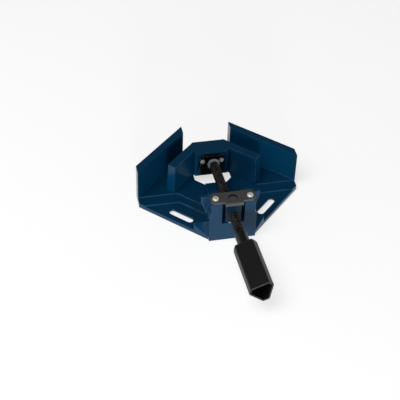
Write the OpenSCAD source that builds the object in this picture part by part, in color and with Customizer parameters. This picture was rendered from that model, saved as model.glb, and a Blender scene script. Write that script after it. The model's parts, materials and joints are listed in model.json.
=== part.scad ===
// Corner clamp: a cast bed with two fences at 90 degrees, and a V-shaped jaw that a screw pushes into them.
// The origin is the swivel axis of the nut on the underside of the bed. +Y points into the corner, +Z up.

/* [Bed] */
// Half the width of the bed across its side edges
bed_half_w = 85; // [80:1:95]
// Distance from the swivel axis to where the two slanted front edges would meet
front_edge_run = 27.8; // [26:0.1:29]
// Thickness of the outer flange
flange_t = 4.5; // [4:0.1:5]
// Height of the lower terrace
terrace_z = 6; // [5.5:0.1:6.2]
// Height of the floor that carries the boards
floor_z = 7; // [6.5:0.1:7.5]
// Distance from the swivel axis to the front of the lower terrace
terrace_front = 52; // [50:1:54]
// Distance from the swivel axis to the front of the floor
floor_front = 65; // [63:1:67]
// Half the distance between the inner ends of the floor's straight front edge
floor_front_half = 43; // [41:1:45]
// Depth of the hollow on the underside
hollow_depth = 2.5; // [2:0.1:2.6]
// Width of the rim round the hollow
rim_w = 5; // [4:0.5:6]
// Thickness of the ribs in the hollow
rib_t = 3; // [2.5:0.5:4]

/* [Bench slots] */
// Width of a slot
slot_w = 7; // [6:0.1:8]
// Length of a slot from end to end
slot_len = 28; // [25:1:29]
// Distance from a slot's centre to the middle plane
slot_x = 45; // [44:0.5:47]
// Distance from a slot's centre line to the slanted edge
slot_inset = 10.3; // [10:0.1:11]

/* [Window] */
// Distance from the swivel axis to the front of the window
window_front = 74; // [72:1:76]
// Length of the window
window_len = 32; // [30:1:34]
// Half the width of the window's front edge
window_neck_half = 11.3; // [11:0.1:12]
// Half the width of the window
window_half = 20.5; // [20:0.5:22]
// Wall round the window in the hollow
window_rim = 3.5; // [3:0.5:4]

/* [Spine] */
// Half the width of the ramp behind the block
ramp_half = 21; // [20:0.5:22]
// Distance from the swivel axis to the foot of the ramp
ramp_foot = 27; // [26:1:30]
// Distance from the swivel axis to the top of the ramp
ramp_top = 54; // [52:1:56]
// Height of the spine in front of the window
spine_z = 8.5; // [8:0.1:9]

/* [Fences] */
// Thickness of the board that the clamp holds at rest
board_t = 19; // [17:1:20]
// Thickness of a fence
fence_t = 8; // [7:0.5:9]
// Height of a fence's top
fence_top = 41; // [38:1:44]
// Half the gap between the fences at the corner
corner_half = 26; // [24:1:30]
// Depth of the panels on the back of a fence
panel_depth = 3; // [2:0.5:4]
// Wall left round a panel
panel_rim = 4.5; // [4:0.5:6]

/* [Block] */
// Width of the block's lower part
block_w = 48; // [46:1:50]
// Width of the block's upper part
block_top_w = 45; // [44.8:0.1:46]
// Height of the step between the two
block_step_z = 31; // [29:0.5:33]
// Distance from the swivel axis to the block's front
block_front = 6; // [5:0.5:7]
// Distance from the swivel axis to the block's back
block_back = 13; // [12:0.5:14]
// Height of the block's top
block_top = 48; // [46:0.5:50]
// Width of the notch for the nut
notch_w = 23; // [23:0.5:24]
// Height of the notch's floor
notch_floor = 22; // [21:0.1:22]
// Width of the gusset beside the block
gusset_w = 12.5; // [11:0.5:14]
// Height of the gusset's ridge
gusset_z = 12; // [11:0.5:13]
// Distance from the swivel axis to the gusset's ridge
gusset_ridge = 11; // [10:0.5:12]
// Reach of the ears at the block's back
ear_w = 6; // [5:0.5:7]
// Thickness of the ears
ear_t = 4; // [3.5:0.1:5]
// Height of the ears' top
ear_top = 46.5; // [45:0.5:47]
// Height of the ears' lower end
ear_low = 23; // [22:0.5:25]

/* [Cover plate] */
// Thickness of the plate
plate_t = 2; // [1.8:0.1:2.2]
// Width of the plate
plate_w = 44.6; // [43.5:0.1:44.8]
// Distance from the swivel axis to the plate's back edge
plate_back = 9; // [9:0.5:10]
// Corner radius of the plate
plate_r = 4; // [3:0.5:5]
// Width of the tongue
tongue_w = 18.5; // [18:0.5:20]
// Distance from the swivel axis to the front of the tongue
tongue_front = 9.4; // [9.4:0.1:10.5]
// Height of the tongue's turned-down lip below the plate
lip_drop = 1.2; // [1:0.1:1.5]
// Distance from a cover screw to the middle plane
cover_screw_x = 17.5; // [17.2:0.1:17.8]
// Thread diameter of a cover screw
cover_screw_d = 4; // [3.5:0.5:4]
// Head diameter of a cover screw
cover_head_d = 8; // [7.5:0.1:8]
// Head height of a cover screw
cover_head_h = 2.4; // [2:0.1:2.8]
// Length of a cover screw under its head
cover_screw_len = 14; // [12:1:18]

/* [Nut] */
// Width of the nut
nut_w = 16; // [15:0.5:16]
// Depth of the nut, along the screw
nut_depth = 10; // [9.8:0.1:11]
// Diameter of the nut's trunnions
trunnion_d = 9; // [8:0.5:10]
// Length of the lower trunnion
trunnion_len = 8; // [7:0.5:10]
// Depth of the upper trunnion's end below the plate's top
trunnion_sink = 0.5; // [0.3:0.1:1]
// Thickness of the washers above and below the nut
pivot_washer_t = 1; // [0.8:0.1:1.2]
// Outer diameter of those washers
pivot_washer_d = 14; // [13:0.5:14]

/* [Screw] */
// Height of the screw's axis
screw_z = 30.6; // [30:0.1:31]
// Thread diameter of the screw
screw_d = 10; // [9.5:0.1:10.5]
// Journal diameter at the screw's far end
journal_d = 8; // [7.5:0.1:8.5]
// Distance from the swivel axis to the journal's shoulder
shoulder_at = 77; // [76:0.1:78]
// Angle of the screw to the middle plane
swivel_rest = 1.5; // [0:0.1:2]
// Depth of the groove in the journal
groove_depth = 1.1; // [1:0.1:1.2]
// Thickness of the thrust washer
thrust_washer_t = 1; // [0.8:0.1:1.2]
// Outer diameter of the thrust washer
thrust_washer_d = 13; // [12:0.1:14]

/* [Swivel bush] */
// Distance from the swivel axis to the jaw's pivot
jaw_pivot = 93; // [92.8:0.1:93.3]
// Diameter of the bush's upright barrel
barrel_d = 14; // [13.6:0.1:14]
// Height of the barrel
barrel_h = 14.6; // [14:0.1:15]
// Diameter of the bush's nose
bush_nose_d = 11; // [10.6:0.1:11.4]
// Diameter of the bush's pins
bush_pin_d = 3; // [2.5:0.1:3]

/* [Jaw] */
// Distance from the swivel axis to where the jaw's two faces would meet
jaw_apex = 122.5; // [121.5:0.5:123.5]
// Half the distance between the ends of the jaw's faces
jaw_half = 49.5; // [48:0.5:51]
// Half the width of the jaw's blunt nose
jaw_nose_half = 17.3; // [16.5:0.1:18]
// Thickness of the jaw's wings
wing_t = 9.5; // [9:0.1:10]
// Height of the jaw's top
jaw_top = 40.5; // [40.2:0.1:42]
// Draft of the wings' ends, in degrees
jaw_draft = 3; // [1:0.5:4]
// Half the width of the jaw's hub
hub_half = 17.8; // [17.5:0.1:19]
// Height of the hub's underside
hub_z = 10; // [9.5:0.1:10.5]
// Distance from the swivel axis to the hub's front
hub_front = 85.5; // [85:0.1:85.5]

/* [Retaining plate] */
// Thickness of the retaining plate
keeper_t = 2; // [1.5:0.1:2]
// Width of the retaining plate
keeper_w = 25.5; // [25.5:0.1:26.5]
// Height of the retaining plate
keeper_h = 24; // [22:0.5:24]
// Height of the retaining plate's lower edge
keeper_z = 13; // [12.5:0.1:13.5]
// Distance from a retaining screw to the plate's end
keeper_edge = 2.7; // [2.6:0.1:2.8]
// Thread diameter of a retaining screw
keeper_screw_d = 3; // [2.5:0.5:3]
// Head diameter of a retaining screw
keeper_head_d = 5; // [4.8:0.1:5.2]
// Head height of a retaining screw
keeper_head_h = 1.8; // [1.5:0.1:2]
// Length of a retaining screw under its head
keeper_screw_len = 10; // [8:1:12]

/* [Handle] */
// Diameter of the neck
neck_d = 12.6; // [12.4:0.1:13]
// Distance from the swivel axis to the front of the neck
neck_at = 33.5; // [32:0.5:35]
// Length of the neck
neck_len = 16.5; // [15:0.5:18]
// Length of the grip behind the neck
grip_len = 62.5; // [60:0.5:66]
// Distance from the grip's middle to its three flats
grip_flat = 9.2; // [9:0.1:10]
// Distance from the grip's middle to its three blunt edges
grip_edge = 12.6; // [12:0.1:13]
// Rounding between the flats and the blunt edges
grip_r = 2.2; // [2:0.1:2.5]
// Wall of the grip
grip_wall = 1.8; // [1.5:0.1:2.2]
// Length of the sloping shoulder
shoulder_len = 5.5; // [5:0.5:7]
// Length after which the shoulder is almost full
shoulder_bulge = 1.8; // [1.5:0.1:2.2]
// How far the shoulder still stands back there
shoulder_round = 1.1; // [1:0.1:1.5]
// Turn of the grip about the screw
grip_turn = -21; // [-60:1:60]
// Depth of the hollow in the grip
grip_hollow = 46; // [40:1:50]
// Depth of the screw's seat in the grip
grip_seat = 30; // [26:1:32]
// Diameter of the handle's cross pin
handle_pin_d = 3; // [2.5:0.1:3.5]
// Skin of the neck left over the pin's blind end
pin_skin = 0.8; // [0.6:0.1:1]

/* [Fits] */
// Running clearance, on the radius
run_clear = 0.05; // [0.03:0.01:0.08]
// Clearance of seated and threaded pieces, on the radius
seat_clear = 0.02; // [0.01:0.01:0.05]
// Gap between sliding faces
slide_clear = 0.3; // [0.2:0.05:0.5]
// Swing of the nut to each side
swing = 6; // [4:0.5:6]

/* [Hidden] */
$fn = 64;
blue = [0.05, 0.13, 0.24];
dark_steel = [0.24, 0.25, 0.25];
zinc = [0.8, 0.8, 0.78];
black = [0.08, 0.08, 0.08];
diag = sqrt(2);
over = 1;
rim_share = 0.45;
least_r = 0.4;
fence_in = jaw_apex + board_t * diag;
fence_out = fence_in + fence_t * diag;
bed_back = fence_out - corner_half;
slot_y = slot_x - front_edge_run + slot_inset * diag;
plate_top = block_top + plate_t;
nut_bottom = notch_floor + pivot_washer_t + run_clear;
nut_top = block_top - pivot_washer_t - run_clear;
trunnion_low = nut_bottom - pivot_washer_t - trunnion_len;
trunnion_high = plate_top - trunnion_sink;
bush_front = shoulder_at + thrust_washer_t + 2 * run_clear;
jaw_x = -sin(swivel_rest) * jaw_pivot;
jaw_y = (cos(swivel_rest) - 1) * jaw_pivot;
jaw_bottom = floor_z + slide_clear;
keeper_front = hub_front - keeper_t;
grip_front = neck_at + neck_len;
grip_end = grip_front + grip_len;
handle_pin_at = neck_at + neck_len / 2;
bush_pin_x = journal_d / 2 - groove_depth + bush_pin_d / 2 + 2 * run_clear;
keeper_screw_x = keeper_w / 2 - keeper_edge;
lean = swing + swivel_rest;
jaw_flare = (jaw_top - jaw_bottom) * tan(jaw_draft) / diag;
pin_low = -neck_d / 2 + over / 2;
pin_high = neck_d / 2 - pin_skin;

// A copy on each side of the middle plane
module both_sides() {
    children();
    mirror([1, 0, 0]) children();
}

// Local frame of the screw: its axis is Y, through the swivel axis
module on_screw() {
    rotate([0, 0, swivel_rest]) translate([0, 0, screw_z]) children();
}

// A round bar along Y from one distance to another
module bar(d, from, to) {
    translate([0, from, 0]) rotate([-90, 0, 0]) cylinder(d = d, h = to - from);
}

// A plate standing in the X plane: its outline is given in Y and Z
module across(half_w) {
    translate([-half_w, 0, 0]) rotate([90, 0, 90]) linear_extrude(2 * half_w) children();
}

// Outline of the bed, drawn in by an inset; tip is half the width of its front end
module bed_outline(inset, tip) {
    side = bed_half_w - inset;
    run = front_edge_run - inset * diag;
    back = bed_back - inset;
    out = fence_out - inset * diag;
    right = [[tip, tip - run], [side, side - run], [side, out - side], [out - back, back]];
    left = [for (i = [3:-1:0]) [-right[i][0], right[i][1]]];
    polygon(concat(right, left));
}

// Everything behind a front edge that is straight outside and slanted between the ends
module behind(front) {
    tip = 2;
    wide = bed_half_w + over;
    far = bed_back + over;
    polygon([[-wide, front], [-floor_front_half, front], [-tip, front - floor_front_half + tip],
        [tip, front - floor_front_half + tip], [floor_front_half, front], [wide, front], [wide, far],
        [-wide, far]]);
}

module slot_shape() {
    mid = slot_len - slot_w;
    translate([slot_x, slot_y]) rotate(45) {
        square([mid, slot_w], center = true);
        for (s = [-1, 1]) translate([s * mid / 2, 0]) circle(d = slot_w);
    }
}

module window_shape(grow) {
    neck = window_neck_half + grow;
    half = window_half + grow;
    flare = half - neck;
    front = window_front - grow;
    back = window_front + window_len + grow;
    polygon([[-neck, front], [neck, front], [half, front + flare], [half, back - flare], [neck, back],
        [-neck, back], [-half, back - flare], [-half, front + flare]]);
}

module fence_shape() {
    polygon([[bed_half_w, fence_in - bed_half_w], [bed_half_w, fence_out - bed_half_w],
        [corner_half, fence_out - corner_half], [corner_half, fence_in - corner_half]]);
}

// Two shallow panels on a fence's back, in the fence's own frame
module fence_panels() {
    run = (bed_half_w - corner_half) * diag;
    long = (run - fence_t - 3 * panel_rim) / 2;
    tall = fence_top - floor_z - 2 * panel_rim;
    translate([corner_half, fence_out - corner_half, 0]) rotate([0, 0, -45])
        for (i = [0, 1]) translate([panel_rim + i * (long + panel_rim), -panel_depth, floor_z + panel_rim])
            cube([long, panel_depth + over, tall]);
}

module bed_plate() {
    linear_extrude(flange_t) bed_outline(0, block_w / 2);
    linear_extrude(terrace_z) intersection() {
        bed_outline(0, block_w / 2);
        behind(terrace_front);
    }
    linear_extrude(floor_z) intersection() {
        bed_outline(0, block_w / 2);
        behind(floor_front);
    }
    across(ramp_half) polygon([[ramp_foot, 0], [ramp_foot, flange_t], [ramp_top, floor_z], [ramp_top, 0]]);
    across(window_neck_half) polygon([[ramp_foot, 0], [ramp_foot, flange_t], [ramp_top, spine_z],
        [window_front + over, spine_z], [window_front + over, 0]]);
}

// Hollow underside: a rim, a wall round the window, and ribs stay
module underside() {
    difference() {
        bed_outline(rim_w, block_w / 2 + rim_w);
        window_shape(window_rim);
        translate([-block_w / 2, -bed_back]) square([block_w, bed_back + block_back + rim_w]);
        square([rib_t, 4 * bed_half_w], center = true);
        translate([0, floor_front]) square([4 * bed_half_w, rib_t], center = true);
        both_sides() translate([0, block_back]) rotate(45) square([4 * bed_half_w, rib_t], center = true);
    }
}

module block() {
    low = block_w / 2;
    high = block_top_w / 2;
    step = low - high;
    translate([0, block_back, 0]) rotate([90, 0, 0]) linear_extrude(block_front + block_back)
        polygon([[-low, 0], [low, 0], [low, block_step_z], [high, block_step_z + 2 * step], [high, block_top],
            [-high, block_top], [-high, block_step_z + 2 * step], [-low, block_step_z]]);
    translate([0, block_back, 0]) rotate([90, 0, 0]) linear_extrude(ear_t)
        polygon([[-low, ear_low], [low, ear_low], [low + ear_w, ear_top - ear_w], [low + ear_w, ear_top],
            [-low - ear_w, ear_top], [-low - ear_w, ear_top - ear_w]]);
    intersection() {
        across(block_w / 2 + gusset_w) polygon([[-block_front, 0], [-block_front, flange_t / 2],
            [gusset_ridge, gusset_z], [gusset_ridge + over, 0]]);
        linear_extrude(gusset_z) bed_outline(0, block_w / 2);
    }
}

module base_casting() color(blue) difference() {
    union() {
        bed_plate();
        block();
        both_sides() linear_extrude(fence_top) fence_shape();
    }
    both_sides() fence_panels();
    translate([0, 0, -over]) linear_extrude(hollow_depth + over) underside();
    translate([0, 0, -over]) linear_extrude(spine_z + 2 * over) {
        both_sides() slot_shape();
        window_shape(0);
    }
    translate([-notch_w / 2, -block_front - over, notch_floor])
        cube([notch_w, block_front + block_back + 2 * over, block_top]);
    translate([0, 0, trunnion_low - over]) cylinder(d = trunnion_d + 2 * run_clear, h = block_top);
    both_sides() translate([cover_screw_x, 0, plate_top - cover_screw_len - over])
        cylinder(d = cover_screw_d + 2 * seat_clear, h = block_top);
}

module plate_outline() {
    inner_w = plate_w - 2 * plate_r;
    deep = plate_back + block_front;
    mid = (plate_back - block_front) / 2;
    translate([0, mid]) {
        square([plate_w, deep - 2 * plate_r], center = true);
        square([inner_w, deep], center = true);
        for (sx = [-1, 1], sy = [-1, 1])
            translate([sx * inner_w / 2, sy * (deep / 2 - plate_r)]) circle(r = plate_r);
    }
    translate([-tongue_w / 2, -tongue_front + plate_t]) square([tongue_w, tongue_front - plate_t]);
}

module cover_plate() color(dark_steel) difference() {
    union() {
        translate([0, 0, block_top]) linear_extrude(plate_t) plate_outline();
        translate([tongue_w / 2, -tongue_front + plate_t, block_top]) rotate([0, -90, 0])
            linear_extrude(tongue_w) intersection() {
                circle(r = plate_t);
                translate([0, -plate_t]) square(plate_t);
            }
        translate([-tongue_w / 2, -tongue_front, block_top - lip_drop]) cube([tongue_w, plate_t, lip_drop]);
    }
    translate([0, 0, block_top - over]) cylinder(d = trunnion_d + 2 * run_clear, h = plate_t + 2 * over);
    both_sides() translate([cover_screw_x, 0, block_top - over])
        cylinder(d = cover_screw_d + 2 * seat_clear, h = plate_t + 2 * over);
}

// A pan-head screw standing on Z = 0: a shank below, a domed head above
module pan_screw(d, len, head_d, head_h) {
    edge = head_h * rim_share;
    translate([0, 0, -len]) cylinder(d = d, h = len + over / 2);
    cylinder(d = head_d, h = edge);
    dome = (pow(head_d / 2, 2) + pow(head_h - edge, 2)) / (2 * (head_h - edge));
    intersection() {
        translate([0, 0, head_h - dome]) sphere(r = dome);
        cylinder(d = head_d, h = head_h + over);
    }
}

module cover_screws() color(zinc) both_sides() translate([cover_screw_x, 0, plate_top])
    pan_screw(cover_screw_d, cover_screw_len, cover_head_d, cover_head_h);

module pivot_washer(z) translate([0, 0, z]) difference() {
    cylinder(d = pivot_washer_d, h = pivot_washer_t);
    translate([0, 0, -over]) cylinder(d = trunnion_d + 2 * run_clear, h = pivot_washer_t + 2 * over);
}

module pivot_washers() color(dark_steel) {
    pivot_washer(notch_floor);
    pivot_washer(block_top - pivot_washer_t);
}

module swivel_nut() color(dark_steel) rotate([0, 0, swivel_rest]) difference() {
    union() {
        translate([-nut_w / 2, -nut_depth / 2, nut_bottom]) cube([nut_w, nut_depth, nut_top - nut_bottom]);
        translate([0, 0, trunnion_low]) cylinder(d = trunnion_d, h = trunnion_high - trunnion_low);
    }
    translate([0, 0, screw_z]) bar(screw_d + 2 * run_clear, -nut_depth, nut_depth);
}

// The handle's cross pin: blind, from the underside of the neck
module handle_pin_shape(grow) {
    translate([0, -handle_pin_at, pin_low - grow])
        cylinder(d = handle_pin_d + 2 * grow, h = pin_high - pin_low + 2 * grow);
}

module threaded_spindle() color(black) on_screw() difference() {
    union() {
        bar(screw_d, -neck_at - grip_seat, shoulder_at);
        bar(journal_d, shoulder_at - over, jaw_pivot + barrel_d / 2 - 2 * over);
    }
    translate([0, jaw_pivot, 0]) rotate([-90, 0, 0]) difference() {
        cylinder(d = journal_d + over, h = bush_pin_d + 4 * run_clear, center = true);
        cylinder(d = journal_d - 2 * groove_depth, h = 2 * bush_pin_d, center = true);
    }
    rotate([0, grip_turn, 0]) handle_pin_shape(seat_clear);
}

// Section of the grip: a triangle with blunt edges; flats and edges stand at these distances from the middle
module grip_section(shrink) {
    r = max(grip_r - shrink, least_r);
    flat = grip_flat - shrink - r;
    edge = grip_edge - shrink - r;
    half = (edge - flat / 2) / cos(30);
    hull() for (i = [0:2], s = [-1, 1]) rotate(120 * i) translate([s * half, flat]) circle(r = r, $fn = 32);
}

module handle_grip() color(black) on_screw() rotate([0, grip_turn, 0]) difference() {
    union() {
        bar(neck_d, -grip_front - over, -neck_at);
        hull() {
            translate([0, -grip_front, 0]) rotate([90, 0, 0]) cylinder(d = neck_d, h = over / 2, $fn = 32);
            translate([0, -grip_front - shoulder_bulge, 0]) rotate([90, 0, 0])
                linear_extrude(over / 2) grip_section(shoulder_round);
            translate([0, -grip_front - shoulder_len, 0]) rotate([90, 0, 0])
                linear_extrude(over / 2) grip_section(0);
        }
        translate([0, -grip_front - shoulder_len, 0]) rotate([90, 0, 0])
            linear_extrude(grip_len - shoulder_len) grip_section(0);
    }
    bar(screw_d + 2 * seat_clear, -neck_at - grip_seat, -neck_at + over);
    translate([0, -grip_end + grip_hollow, 0]) rotate([90, 0, 0])
        linear_extrude(grip_hollow + over) grip_section(grip_wall);
    handle_pin_shape(seat_clear);
    translate([0, -handle_pin_at, -neck_d]) cylinder(d = handle_pin_d + 2 * seat_clear, h = neck_d);
}

module handle_pin() color(zinc) on_screw() rotate([0, grip_turn, 0]) handle_pin_shape(0);

module thrust_washer() color(dark_steel) on_screw() difference() {
    bar(thrust_washer_d, shoulder_at + run_clear, shoulder_at + run_clear + thrust_washer_t);
    bar(journal_d + 2 * run_clear, shoulder_at - over, bush_front + over);
}

module swivel_bush() color(dark_steel) on_screw() difference() {
    union() {
        bar(bush_nose_d, bush_front, jaw_pivot);
        translate([0, jaw_pivot, 0]) cylinder(d = barrel_d, h = barrel_h, center = true);
    }
    bar(journal_d + 2 * run_clear, bush_front - over, jaw_pivot + barrel_d);
    both_sides() translate([bush_pin_x, jaw_pivot, 0])
        cylinder(d = bush_pin_d + 2 * seat_clear, h = barrel_h + over, center = true);
}

module bush_pins() color(zinc) on_screw() both_sides() translate([bush_pin_x, jaw_pivot, 0])
    cylinder(d = bush_pin_d, h = barrel_h, center = true);

// Local frame of the jaw: the jaw stays square to the fences, on the screw's end
module on_jaw() {
    translate([jaw_x, jaw_y, 0]) children();
}

// One wing, reaching a little way into the hub
module wing_shape() {
    tip = jaw_half + jaw_flare;
    end = jaw_apex - tip;
    back = wing_t / diag;
    root = hub_half - over;
    polygon([[tip, end], [jaw_nose_half, jaw_apex - jaw_nose_half], [root, jaw_apex - jaw_nose_half],
        [root, jaw_apex - wing_t * diag - root], [tip - back, end - back]]);
}

module moving_jaw() color(blue) on_jaw() difference() {
    seat_h = barrel_h + 2 * run_clear;
    seat_d = barrel_d + 2 * run_clear;
    mouth = bush_nose_d / 2 + (jaw_pivot - hub_front) * tan(lean) + slide_clear;
    waist = seat_d / 2 - slide_clear;
    union() {
        both_sides() translate([0, 0, jaw_bottom]) linear_extrude(jaw_top - jaw_bottom) wing_shape();
        translate([-hub_half, hub_front, hub_z])
            cube([2 * hub_half, jaw_apex - jaw_nose_half - hub_front, jaw_top - hub_z]);
    }
    translate([0, jaw_pivot, screw_z]) cylinder(d = seat_d, h = seat_h, center = true);
    translate([0, 0, screw_z - seat_h / 2]) linear_extrude(seat_h)
        polygon([[-mouth, hub_front - over], [mouth, hub_front - over], [waist, jaw_pivot],
            [-waist, jaw_pivot]]);
    both_sides() translate([keeper_screw_x, 0, screw_z])
        bar(keeper_screw_d + 2 * seat_clear, hub_front - over, keeper_front + keeper_screw_len + over);
    both_sides() translate([jaw_half, jaw_apex - jaw_half, jaw_top]) rotate([0, 0, -45])
        rotate([0, -jaw_draft, 0]) translate([0, -jaw_half, -2 * jaw_top])
            cube([jaw_half, 2 * jaw_half, 3 * jaw_top]);
}

module retaining_plate() color(dark_steel) on_jaw() translate([0, hub_front, 0]) rotate([90, 0, 0])
    linear_extrude(keeper_t) difference() {
        gap = bush_nose_d / 2 + slide_clear;
        reach = (jaw_pivot - keeper_front) * tan(lean) + slide_clear;
        translate([-keeper_w / 2, keeper_z]) square([keeper_w, keeper_h]);
        for (s = [-1, 1]) translate([s * reach, screw_z]) circle(r = gap);
        translate([0, screw_z]) square([2 * reach, 2 * gap], center = true);
        for (s = [-1, 1]) translate([s * keeper_screw_x, screw_z])
            circle(d = keeper_screw_d + 2 * seat_clear);
    }

module retaining_screws() color(zinc) on_jaw() both_sides() translate([keeper_screw_x, keeper_front, screw_z])
    rotate([90, 0, 0]) pan_screw(keeper_screw_d, keeper_screw_len, keeper_head_d, keeper_head_h);

base_casting();
cover_plate();
cover_screws();
pivot_washers();
swivel_nut();
threaded_spindle();
handle_grip();
handle_pin();
thrust_washer();
swivel_bush();
bush_pins();
moving_jaw();
retaining_plate();
retaining_screws();
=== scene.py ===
# Corner clamp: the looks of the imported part, in metres, in the part's own frame.
import json
import math

import bmesh
import bpy
from mathutils import Matrix, Vector


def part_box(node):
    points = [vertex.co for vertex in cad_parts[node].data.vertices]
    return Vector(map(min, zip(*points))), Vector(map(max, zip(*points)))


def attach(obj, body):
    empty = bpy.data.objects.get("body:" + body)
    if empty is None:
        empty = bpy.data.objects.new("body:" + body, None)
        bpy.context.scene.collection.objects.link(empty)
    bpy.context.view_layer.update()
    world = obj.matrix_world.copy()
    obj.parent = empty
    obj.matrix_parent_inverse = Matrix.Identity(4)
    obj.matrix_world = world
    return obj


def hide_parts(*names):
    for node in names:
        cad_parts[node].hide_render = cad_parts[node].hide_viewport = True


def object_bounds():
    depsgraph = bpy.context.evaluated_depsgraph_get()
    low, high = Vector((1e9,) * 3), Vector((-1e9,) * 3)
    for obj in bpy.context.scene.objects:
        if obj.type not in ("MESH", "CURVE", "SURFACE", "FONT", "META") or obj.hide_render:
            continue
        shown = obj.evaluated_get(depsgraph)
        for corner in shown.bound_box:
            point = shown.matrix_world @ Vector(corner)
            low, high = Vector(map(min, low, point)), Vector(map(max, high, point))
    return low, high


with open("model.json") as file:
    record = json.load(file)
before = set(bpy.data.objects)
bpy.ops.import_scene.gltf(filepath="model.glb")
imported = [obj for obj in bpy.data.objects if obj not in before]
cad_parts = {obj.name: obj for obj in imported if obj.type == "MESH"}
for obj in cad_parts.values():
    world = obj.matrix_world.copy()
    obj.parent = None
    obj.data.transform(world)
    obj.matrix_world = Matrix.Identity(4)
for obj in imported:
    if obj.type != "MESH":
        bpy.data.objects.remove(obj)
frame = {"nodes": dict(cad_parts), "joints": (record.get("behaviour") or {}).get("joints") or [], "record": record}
cad_low, cad_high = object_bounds()
nodes = frame["nodes"]
joints = {joint["name"]: joint for joint in frame["joints"]}
MM = 0.001
SQUARE = ((-1, -1), (1, -1), (1, 1), (-1, 1))

# Camera of the photograph, a picture of 400 x 400 pixels; angles are in degrees
IMAGE_PX = 400
FOCAL_PX = 1030
SENSOR_MM = 36
CAMERA_AT = Vector((-204.0, -742.5, 712.2)) * MM
ELEVATION, AZIMUTH, ROLL = 40.93, 12.95, -2.0
CLIP_END = 20

# Clean-up of a solid's mesh: points nearer than this are one point, and faces flatter than this are one face
MERGE_SOLID = 0.002 * MM
MERGE_ROUNDED = 0.001 * MM
FLAT_DEG = 0.4
# Edges sharper than SHARP_DEG are rounded by the node's radius
SHARP_DEG = 20
ROUNDING = {"base_casting": 0.5 * MM, "moving_jaw": 0.6 * MM, "cover_plate": 0.3 * MM, "handle_grip": 0.4 * MM,
            "swivel_nut": 0.3 * MM, "retaining_plate": 0.2 * MM}
ROUNDING_STEPS = 3
# Faces that meet at less than this angle shade as one surface
SOFT_DEG = 35
SOFT_TURNED_DEG = 30
# Name of the face value that says where edges are worn
EDGE_MARK = "edge"

# Where a finish changes on a piece, and over which distance: near the swivel axis the wall of the cover's hole is
# painted black as shade, the end of the nut's upper trunnion is bare, and the zinc deep in the jaw, towards the
# screw's far end, is painted a darker grey as shade
HOLE_SHADE_R = 4.7 * MM
BARE_ABOVE = 47.4 * MM
JAW_SHADE_BEYOND = 50 * MM
FINISH_BLUR = 0.2 * MM
# The trunnion's end lies this much deeper in the cover than the solid's, as the photograph shows it; the points in a
# thin band at the nut's top belong to it
TRUNNION_DROP = 1.4 * MM
TOP_BAND = 0.01 * MM

# The screw's own frame: its axis is local Y, through the nut's swivel axis
SCREW_AXIS = Vector(joints["spindle_turn"]["axis"])
SCREW_AT = Vector(joints["spindle_turn"]["pos_m"])
SCREW_SWING = math.atan2(-SCREW_AXIS.x, SCREW_AXIS.y)
SCREW_FRAME = Matrix.Translation(SCREW_AT) @ Matrix.Rotation(SCREW_SWING, 4, "Z")
# Distances along the screw, from the swivel axis
SEAT_END = -63.5 * MM
NECK_AT = -33.5 * MM
SHOULDER_AT = 77.0 * MM
JAW_PIVOT = 93.0 * MM
JOURNAL_END = 98.0 * MM
THREAD_START = NECK_AT - 2 * MM
THREAD_END = SHOULDER_AT - 0.8 * MM
# The screw's radii, its edges and the groove in its journal
THREAD_R = 5.0 * MM
CORE_R = THREAD_R - 0.9 * MM
JOURNAL_R = 4.0 * MM
GROOVE_R = 2.9 * MM
GROOVE_HALF = 1.6 * MM
SHAFT_EDGE = 0.5 * MM
SHAFT_SIDES = 48
# One turn of the thread: (share of the lead, height from 0 at its foot inside the core to 1 on its crest)
THREAD_SHAPE = ((0.0, 1.0), (0.26, 1.0), (0.50, 0.0), (0.76, 0.0))
THREAD_FOOT_R = CORE_R - 0.3 * MM
THREAD_LEAD = 2.0 * MM
THREAD_SIDES = 40

# The two pairs of pan screws, and how far each recess is turned, in degrees
COVER_SCREW = {"head_r": 3.1 * MM, "head_h": 2.4 * MM, "shank_r": 2.0 * MM, "length": 14 * MM}
COVER_TURNS = (20, 52)
KEEPER_SCREW = {"head_r": 2.5 * MM, "head_h": 1.8 * MM, "shank_r": 1.5 * MM, "length": 10 * MM}
KEEPER_TURNS = (35, 10)
SCREW_SIDES = 40
# Shares of a screw's head radius or head height: the rim, the dome and the cross recess
SEAT_SHARE, RIM_LOW, RIM_HIGH = 0.97, 0.06, 0.45
DOME_STEPS, DOME_POWER = 10, 0.8
RECESS_FLOOR, RECESS_TOP = 0.30, 1.5
RECESS_ARM, RECESS_HALF = 0.56, 0.115
RECESS_FOOT, RECESS_FLARE = 0.45, 1.35
# Shares of a screw's shank radius: its point
POINT_SHARE, POINT_LENGTH = 0.6, 0.5
BOX_FACES = ((0, 1, 2, 3), (7, 6, 5, 4), (0, 4, 5, 1), (1, 5, 6, 2), (2, 6, 7, 3), (3, 7, 4, 0))

# The floor glows for the camera and in reflections, so that it is white without more light on the object
FLOOR_HALF = 6.0
FLOOR_DROP = 0.05 * MM
FLOOR_TONES = (0.74, 0.77)
FLOOR_ROUGHNESS = 0.9
FLOOR_GLOW = 0.66
# The floor below the bed lies in its shadow, so nothing mirrors it as bright
SHADED_Y, SHADED_R = 0.09, 0.08
# Brightness of the studio by the sine of the elevation
SKY = ((0.0, 0.95), (0.12, 0.80), (0.42, 0.10), (0.62, 0.06))


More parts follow.
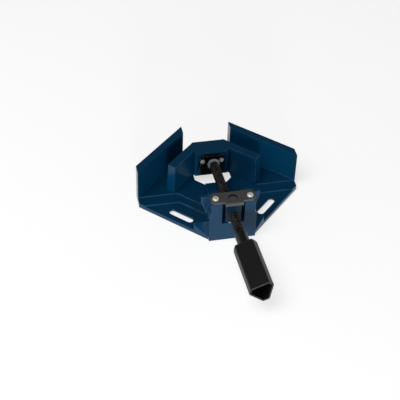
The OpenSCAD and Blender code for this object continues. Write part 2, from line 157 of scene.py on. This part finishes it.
def make_camera():
    el, az, roll = (math.radians(angle) for angle in (ELEVATION, AZIMUTH, ROLL))
    forward = Vector((math.sin(az) * math.cos(el), math.cos(az) * math.cos(el), -math.sin(el)))
    right = Vector((math.cos(az), -math.sin(az), 0))
    down = forward.cross(right)
    rolled_right = math.cos(roll) * right + math.sin(roll) * down
    rolled_down = -math.sin(roll) * right + math.cos(roll) * down
    turn = Matrix((rolled_right, -rolled_down, -forward)).transposed().to_4x4()
    data = bpy.data.cameras.new("camera")
    data.sensor_width = SENSOR_MM
    data.lens = SENSOR_MM * FOCAL_PX / IMAGE_PX
    data.clip_end = CLIP_END
    camera = in_scene("camera", data)
    camera.matrix_world = Matrix.Translation(CAMERA_AT) @ turn
    bpy.context.scene.camera = camera


def in_scene(name, data):
    thing = bpy.data.objects.new(name, data)
    bpy.context.scene.collection.objects.link(thing)
    return thing


def new_material(name):
    material = bpy.data.materials.new(name)
    material.use_nodes = True
    tree = material.node_tree
    return material, tree, tree.nodes["Principled BSDF"]


def add_node(tree, kind, **values):
    node = tree.nodes.new(kind)
    for name, value in values.items():
        setattr(node, name, value)
    return node


# Object coordinates: a piece's own place at rest, so that finishes move with the piece
def place_on_piece(tree):
    return add_node(tree, "ShaderNodeTexCoord").outputs["Object"]


# A calculation with two inputs: a socket, and a socket or a number
def calculate(tree, operation, a, b):
    node = add_node(tree, "ShaderNodeMath", operation=operation)
    tree.links.new(a, node.inputs[0])
    if isinstance(b, float):
        node.inputs[1].default_value = b
    else:
        tree.links.new(b, node.inputs[1])
    return node.outputs["Value"]


def noise(tree, scale, detail=4, rough=0.55):
    texture = add_node(tree, "ShaderNodeTexNoise")
    texture.inputs["Scale"].default_value = scale
    texture.inputs["Detail"].default_value = detail
    texture.inputs["Roughness"].default_value = rough
    tree.links.new(place_on_piece(tree), texture.inputs["Vector"])
    return texture.outputs["Fac"]


# A colour ramp; each stop is a position with a colour or a grey level
def ramp(tree, source, stops):
    node = add_node(tree, "ShaderNodeValToRGB")
    elements = node.color_ramp.elements
    while len(elements) < len(stops):
        elements.new(0.5)
    for element, (at, colour) in zip(elements, stops):
        element.position = at
        element.color = (*colour, 1) if isinstance(colour, tuple) else (colour, colour, colour, 1)
    tree.links.new(source, node.inputs["Fac"])
    return node.outputs["Color"]


# Two colours or grey levels mixed by noise; a small spread gives hard spots
def mottle(tree, low, high, scale, detail=4, rough=0.55, spread=0.2):
    return ramp(tree, noise(tree, scale, detail, rough), [(0.5 - spread, low), (0.5 + spread, high)])


def mix(tree, factor, a, b):
    node = add_node(tree, "ShaderNodeMix", data_type="RGBA")
    tree.links.new(factor, node.inputs["Factor"])
    for socket, value in ((node.inputs["A"], a), (node.inputs["B"], b)):
        if isinstance(value, tuple):
            socket.default_value = (*value, 1)
        else:
            tree.links.new(value, socket)
    return node.outputs["Result"]


# 1 beyond a distance from the part's origin, 0 before it, measured along the axes that are weighted 1
def beyond(tree, weights, distance):
    along = add_node(tree, "ShaderNodeVectorMath", operation="MULTIPLY")
    along.inputs[1].default_value = weights
    tree.links.new(place_on_piece(tree), along.inputs[0])
    length = add_node(tree, "ShaderNodeVectorMath", operation="LENGTH")
    tree.links.new(along.outputs["Vector"], length.inputs[0])
    limit = add_node(tree, "ShaderNodeMapRange")
    limit.inputs["From Min"].default_value = distance
    limit.inputs["From Max"].default_value = distance + FINISH_BLUR
    tree.links.new(length.outputs["Value"], limit.inputs["Value"])
    return limit.outputs["Result"]


# Wear: 1 on the faces that are marked as outer edges, broken up by noise
def edge_wear(tree, scale):
    edge = add_node(tree, "ShaderNodeAttribute", attribute_name=EDGE_MARK)
    spots = mottle(tree, 0.0, 1.0, scale, detail=6, spread=0.08)
    return calculate(tree, "MULTIPLY", edge.outputs["Fac"], spots)


# Links a colour, an uneven roughness and a fine grain to the shader
def dress(tree, shader, colour, roughness, grain, strength, depth):
    tree.links.new(colour, shader.inputs["Base Color"])
    tree.links.new(roughness, shader.inputs["Roughness"])
    bump = add_node(tree, "ShaderNodeBump")
    bump.inputs["Strength"].default_value = strength
    bump.inputs["Distance"].default_value = depth
    tree.links.new(grain, bump.inputs["Height"])
    tree.links.new(bump.outputs["Normal"], shader.inputs["Normal"])


def enamel():
    material, tree, shader = new_material("blue_enamel")
    paint = mottle(tree, (0.0014, 0.049, 0.120), (0.0018, 0.055, 0.132), scale=35, detail=3)
    colour = mix(tree, edge_wear(tree, scale=260), paint, (0.015, 0.09, 0.19))
    roughness = mottle(tree, 0.16, 0.22, scale=60, detail=5)
    dress(tree, shader, colour, roughness, noise(tree, scale=260, detail=2), strength=0.05, depth=0.2 * MM)
    shader.inputs["Specular IOR Level"].default_value = 0.28
    return material


def plate_steel():
    material, tree, shader = new_material("dark_plate")
    phosphate = mottle(tree, (0.075, 0.079, 0.076), (0.125, 0.129, 0.122), scale=160, detail=8, rough=0.7,
                       spread=0.25)
    plate = mix(tree, edge_wear(tree, scale=400), phosphate, (0.22, 0.22, 0.21))
    # Near the swivel axis the wall of the cover's hole is painted black: painted shade inside the hole
    colour = mix(tree, beyond(tree, (1, 1, 0), HOLE_SHADE_R), (0.003, 0.003, 0.003), plate)
    roughness = mottle(tree, 0.42, 0.60, scale=220, detail=6)
    dress(tree, shader, colour, roughness, noise(tree, scale=1400), strength=0.15, depth=0.2 * MM)
    shader.inputs["Metallic"].default_value = 0.2
    return material


def zinc():
    material, tree, shader = new_material("zinc_screw")
    bright = mottle(tree, (0.92, 0.92, 0.90), (0.98, 0.98, 0.96), scale=300)
    # Deep in the jaw, beyond this distance along Y, the zinc is painted a darker grey: painted shade
    colour = mix(tree, beyond(tree, (0, 1, 0), JAW_SHADE_BEYOND), bright, (0.62, 0.68, 0.72))
    roughness = mottle(tree, 0.38, 0.50, scale=500)
    dress(tree, shader, colour, roughness, noise(tree, scale=1800, detail=3), strength=0.08, depth=0.1 * MM)
    shader.inputs["Metallic"].default_value = 0.4
    return material


def steel():
    material, tree, shader = new_material("plain_steel")
    colour = mottle(tree, (0.30, 0.30, 0.29), (0.46, 0.46, 0.45), scale=250, detail=5)
    roughness = mottle(tree, 0.30, 0.48, scale=700, detail=5)
    dress(tree, shader, colour, roughness, noise(tree, scale=2200, detail=3), strength=0.08, depth=0.1 * MM)
    shader.inputs["Metallic"].default_value = 0.9
    return material


def black_oxide():
    material, tree, shader = new_material("blackened_steel")
    black = mottle(tree, (0.003, 0.003, 0.003), (0.006, 0.006, 0.0058), scale=240, detail=6)
    colour = mix(tree, edge_wear(tree, scale=600), black, (0.165, 0.16, 0.155))
    roughness = mottle(tree, 0.30, 0.44, scale=500, detail=5)
    dress(tree, shader, colour, roughness, noise(tree, scale=1500), strength=0.1, depth=0.1 * MM)
    shader.inputs["Specular IOR Level"].default_value = 0.25
    return material


def blued_steel():
    material, tree, shader = new_material("blued_steel")
    blue = mottle(tree, (0.002, 0.020, 0.046), (0.003, 0.027, 0.060), scale=180, detail=5)
    worn = mix(tree, edge_wear(tree, scale=500), blue, (0.08, 0.10, 0.12))
    colour = mix(tree, beyond(tree, (0, 0, 1), BARE_ABOVE), worn, (0.13, 0.14, 0.15))
    roughness = mottle(tree, 0.34, 0.48, scale=400, detail=5)
    dress(tree, shader, colour, roughness, noise(tree, scale=1200), strength=0.1, depth=0.1 * MM)
    shader.inputs["Specular IOR Level"].default_value = 0.18
    return material


def plastic():
    material, tree, shader = new_material("black_plastic")
    colour = mottle(tree, (0.0060, 0.0058, 0.0055), (0.0085, 0.0082, 0.0078), scale=90)
    roughness = mottle(tree, 0.36, 0.48, scale=300, detail=6)
    dress(tree, shader, colour, roughness, noise(tree, scale=2600, detail=2), strength=0.10, depth=0.08 * MM)
    return material


MATERIALS = {"blue_enamel": enamel(), "dark_plate": plate_steel(), "zinc_screw": zinc(), "plain_steel": steel(),
             "blackened_steel": black_oxide(), "blued_steel": blued_steel(), "black_plastic": plastic()}
SLOT_OF = {part["node"]: part["material_slot"] for part in frame["record"]["subparts"]}
BODY_OF = {node: body for body, names in frame["record"]["behaviour"]["bodies"].items() for node in names}


# Puts a new piece in the scene: it rides on the node's body, takes its slot's finish and stands for the node
def place(name, mesh, node):
    piece = in_scene(name, mesh)
    mesh.materials.append(MATERIALS[SLOT_OF[node]])
    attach(piece, BODY_OF[node])
    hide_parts(node)


# A mesh whose normals follow the large faces, so that only the rounded edges shade softly
def finished(bm, name, soft_deg):
    bmesh.ops.recalc_face_normals(bm, faces=bm.faces)
    mesh = bpy.data.meshes.new(name)
    bm.to_mesh(mesh)
    bm.free()
    mesh.polygons.foreach_set("use_smooth", [True] * len(mesh.polygons))
    limit = math.cos(math.radians(soft_deg))
    around = [[] for _ in mesh.vertices]
    for face in mesh.polygons:
        for vertex in face.vertices:
            around[vertex].append(face)
    normals = []
    for face in mesh.polygons:
        for vertex in face.vertices:
            near = [other for other in around[vertex] if other.normal.dot(face.normal) > limit]
            normals.append(sum((other.normal * other.area for other in near), Vector()).normalized())
    mesh.normals_split_custom_set(normals)
    return mesh


# A copy of a node's mesh without needless points on its flat faces
def clean_copy(node):
    bm = bmesh.new()
    bm.from_mesh(nodes[node].data)
    bmesh.ops.remove_doubles(bm, verts=bm.verts, dist=MERGE_SOLID)
    bmesh.ops.dissolve_limit(bm, angle_limit=math.radians(FLAT_DEG), verts=bm.verts, edges=bm.edges)
    bmesh.ops.triangulate(bm, faces=bm.faces)
    return bm


def lower_top(bm, drop):
    top = max(vertex.co.z for vertex in bm.verts)
    for vertex in bm.verts:
        if vertex.co.z > top - TOP_BAND:
            vertex.co.z -= drop


# The node's own shape with its sharp edges rounded, the outer ones marked for wear
def make_rounded(node, radius):
    bm = clean_copy(node)
    if node == "swivel_nut":
        lower_top(bm, TRUNNION_DROP)
    mark = bm.faces.layers.float.new(EDGE_MARK)
    sharp = math.radians(SHARP_DEG)
    edges = [edge for edge in bm.edges if len(edge.link_faces) == 2 and edge.calc_face_angle(0) > sharp]
    made = bmesh.ops.bevel(bm, geom=edges, offset=radius, offset_type="OFFSET", segments=ROUNDING_STEPS, profile=0.5,
                           affect="EDGES", clamp_overlap=False, miter_outer="ARC", loop_slide=True)
    for face in made["faces"]:
        face[mark] = float(sum(edge.calc_face_angle_signed(0) for edge in face.edges) > 0)
    bmesh.ops.remove_doubles(bm, verts=bm.verts, dist=MERGE_ROUNDED)
    place(node + "_body", finished(bm, node, SOFT_DEG), node)


# A body of revolution about local Y: the profile is a list of (distance along Y, radius)
def lathe(bm, profile, sides):
    rings = []
    turns = [2 * math.pi * i / sides for i in range(sides)]
    for along, radius in profile:
        rings.append([bm.verts.new((radius * math.cos(a), along, radius * math.sin(a))) for a in turns])
    for first, second in zip(rings, rings[1:]):
        for i in range(sides):
            j = (i + 1) % sides
            bm.faces.new((first[i], second[i], second[j], first[j]))
    bm.faces.new(rings[0])
    bm.faces.new(rings[-1][::-1])


# The raised thread: its shape swept along the helix, sinking into the core at both ends
def thread(bm, start, end):
    turns = range(math.floor(start / THREAD_LEAD), math.ceil(end / THREAD_LEAD))
    grid = []
    for row, height in ((turn + at, height) for turn in turns for at, height in THREAD_SHAPE):
        line = []
        for i in range(THREAD_SIDES):
            angle = 2 * math.pi * i / THREAD_SIDES
            along = THREAD_LEAD * (row + i / THREAD_SIDES)
            rise = min(1.0, max(0.0, min(along - start, end - along) / THREAD_LEAD))
            radius = THREAD_FOOT_R + (THREAD_R - THREAD_FOOT_R) * height * rise
            line.append(bm.verts.new((radius * math.cos(angle), along, radius * math.sin(angle))))
        grid.append(line)
    # The last column of a turn meets the first column of the next turn
    rows_per_turn = len(THREAD_SHAPE)
    mark = bm.faces.layers.float.new(EDGE_MARK)
    for k in range(len(grid) - 1):
        for i in range(THREAD_SIDES):
            row, column = (k, i + 1) if i + 1 < THREAD_SIDES else (k + rows_per_turn, 0)
            if row + 1 < len(grid):
                face = bm.faces.new((grid[k][i], grid[k + 1][i], grid[row + 1][column], grid[row][column]))
                face[mark] = float(k % rows_per_turn == 0)
    # Both ends are closed inside the core
    for side in (start, end):
        rim = [edge for edge in bm.edges if edge.is_boundary and abs(edge.verts[0].co.y - side) < 2 * THREAD_LEAD]
        middle = bm.verts.new((0, side, 0))
        for edge in rim:
            bm.faces.new((*edge.verts, middle))


def make_spindle():
    shaft = [(SEAT_END, CORE_R - SHAFT_EDGE), (SEAT_END + SHAFT_EDGE, CORE_R),
             (SHOULDER_AT - SHAFT_EDGE, CORE_R), (SHOULDER_AT, CORE_R - SHAFT_EDGE / 2), (SHOULDER_AT, JOURNAL_R),
             (JAW_PIVOT - GROOVE_HALF, JOURNAL_R), (JAW_PIVOT - GROOVE_HALF, GROOVE_R),
             (JAW_PIVOT + GROOVE_HALF, GROOVE_R), (JAW_PIVOT + GROOVE_HALF, JOURNAL_R),
             (JOURNAL_END - SHAFT_EDGE, JOURNAL_R), (JOURNAL_END, JOURNAL_R - SHAFT_EDGE)]
    bm = bmesh.new()
    lathe(bm, shaft, SHAFT_SIDES)
    thread(bm, THREAD_START, THREAD_END)
    bm.transform(SCREW_FRAME)
    place("spindle_thread", finished(bm, "spindle_thread", SOFT_TURNED_DEG), "threaded_spindle")


# A shape for the cut of a screw's recess; it is removed again after the cut
def cutting_shape(bm, name):
    bmesh.ops.recalc_face_normals(bm, faces=bm.faces)
    mesh = bpy.data.meshes.new(name)
    bm.to_mesh(mesh)
    bm.free()
    return in_scene(name, mesh)


# A pan screw without its recess, standing on local Y = 0 with its head towards +Y
def screw_blank(head_r, head_h, shank_r, length):
    rim = head_h * RIM_HIGH
    profile = [(-length, shank_r * POINT_SHARE), (-length + shank_r * POINT_LENGTH, shank_r), (0, shank_r),
               (0, head_r * SEAT_SHARE), (head_h * RIM_LOW, head_r), (rim, head_r)]
    for i in range(1, DOME_STEPS):
        angle = math.pi / 2 * i / DOME_STEPS
        profile.append((rim + (head_h - rim) * math.sin(angle), head_r * math.cos(angle) ** DOME_POWER))
    bm = bmesh.new()
    lathe(bm, profile, SCREW_SIDES)
    return cutting_shape(bm, "screw_blank")


# One arm of the cross recess: a box that is longer and wider at its top than at its floor
def recess_arm(head_r, head_h, turn):
    levels = ((head_h * RECESS_FLOOR, RECESS_FOOT, 1.0), (head_h * RECESS_TOP, RECESS_FLARE, RECESS_FLARE))
    bm = bmesh.new()
    corners = [bm.verts.new((x * head_r * RECESS_ARM * longer, y, z * head_r * RECESS_HALF * wider))
               for y, longer, wider in levels for x, z in SQUARE]
    for face in BOX_FACES:
        bm.faces.new([corners[i] for i in face])
    bm.transform(Matrix.Rotation(math.radians(turn), 4, "Y"))
    return cutting_shape(bm, "recess")


# Adds a pan screw with a cross recess to a mesh
def add_screw(bm, size, turn, where):
    blank = screw_blank(**size)
    arms = [recess_arm(size["head_r"], size["head_h"], turn + quarter) for quarter in (0, 90)]
    for arm in arms:
        cut = blank.modifiers.new("recess", "BOOLEAN")
        cut.operation = "DIFFERENCE"
        cut.object = arm
        cut.solver = "EXACT"
    bpy.context.view_layer.update()
    screw = blank.evaluated_get(bpy.context.evaluated_depsgraph_get())
    mesh = screw.to_mesh()
    mesh.transform(where)
    bm.from_mesh(mesh)
    screw.to_mesh_clear()
    for thing in (blank, *arms):
        bpy.data.objects.remove(thing)


# Both screws of a pair, at the two ends of the node's box, with their heads up or towards the handle
def make_screws(node, size, turns, upright):
    low, high = (Vector(corner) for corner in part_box(node))
    middle = (low + high) / 2
    if upright:
        inset, turned = (high.y - low.y) / 2, Matrix.Rotation(math.pi / 2, 4, "X")
        seat_y, seat_z = middle.y, high.z - size["head_h"]
    else:
        inset, turned = (high.z - low.z) / 2, Matrix.Rotation(math.pi, 4, "Z")
        seat_y, seat_z = low.y + size["head_h"], middle.z
    bm = bmesh.new()
    for x, turn in zip((low.x + inset, high.x - inset), turns):
        add_screw(bm, size, turn, Matrix.Translation((x, seat_y, seat_z)) @ turned)
    place(node + "_heads", finished(bm, node, SOFT_TURNED_DEG), node)


def area_light(name, at, target, size, power):
    data = bpy.data.lights.new(name, "AREA")
    data.shape = "DISK"
    data.size = size
    data.energy = power
    light = in_scene(name, data)
    light.location = at
    light.rotation_euler = (Vector(target) - Vector(at)).to_track_quat("-Z", "Y").to_euler()


# 1 for the rays that see the floor glow: from the camera, through glass, and mirrored where the floor isn't shaded
def glow_rays(tree):
    path = add_node(tree, "ShaderNodeLightPath").outputs
    reach = add_node(tree, "ShaderNodeVectorMath", operation="DISTANCE")
    tree.links.new(place_on_piece(tree), reach.inputs[0])
    reach.inputs[1].default_value = (0, SHADED_Y, 0)
    open_floor = ramp(tree, reach.outputs["Value"], [(0.5 * SHADED_R, 0.0), (SHADED_R, 1.0)])
    mirrored = calculate(tree, "MULTIPLY", path["Is Glossy Ray"], open_floor)
    seen = calculate(tree, "MAXIMUM", path["Is Camera Ray"], mirrored)
    return calculate(tree, "MAXIMUM", seen, path["Is Transmission Ray"])


def make_floor():
    mesh = bpy.data.meshes.new("floor")
    z = cad_low[2] - FLOOR_DROP
    mesh.from_pydata([(x * FLOOR_HALF, y * FLOOR_HALF, z) for x, y in SQUARE], [], [(0, 1, 2, 3)])
    floor = in_scene("floor", mesh)
    material, tree, shader = new_material("floor")
    tree.links.new(mottle(tree, *FLOOR_TONES, scale=3), shader.inputs["Base Color"])
    shader.inputs["Roughness"].default_value = FLOOR_ROUGHNESS
    shader.inputs["Specular IOR Level"].default_value = 0.0
    shader.inputs["Emission Color"].default_value = (1, 1, 1, 1)
    glow = calculate(tree, "MULTIPLY", glow_rays(tree), FLOOR_GLOW)
    tree.links.new(glow, shader.inputs["Emission Strength"])
    mesh.materials.append(material)


def make_world():
    world = bpy.data.worlds.new("studio")
    world.use_nodes = True
    bpy.context.scene.world = world
    tree = world.node_tree
    direction = add_node(tree, "ShaderNodeTexCoord").outputs["Generated"]
    split = add_node(tree, "ShaderNodeSeparateXYZ")
    tree.links.new(direction, split.inputs["Vector"])
    tree.links.new(ramp(tree, split.outputs["Z"], SKY), tree.nodes["Background"].inputs["Color"])


make_camera()
for node, radius in ROUNDING.items():
    make_rounded(node, radius)
make_spindle()
make_screws("cover_screws", COVER_SCREW, COVER_TURNS, upright=True)
make_screws("retaining_screws", KEEPER_SCREW, KEEPER_TURNS, upright=False)
for node, part in nodes.items():
    for slot in part.material_slots:
        slot.material = MATERIALS[SLOT_OF[node]]
make_floor()
make_world()
area_light("key", at=(-0.3, -1.73, 0.19), target=(0, 0.03, 0.02), size=0.35, power=11.5)
area_light("top", at=(-0.8, -0.5, 1.7), target=(0, 0.03, 0.0), size=1.4, power=12.5)
bpy.context.scene.view_settings.view_transform = "Standard"
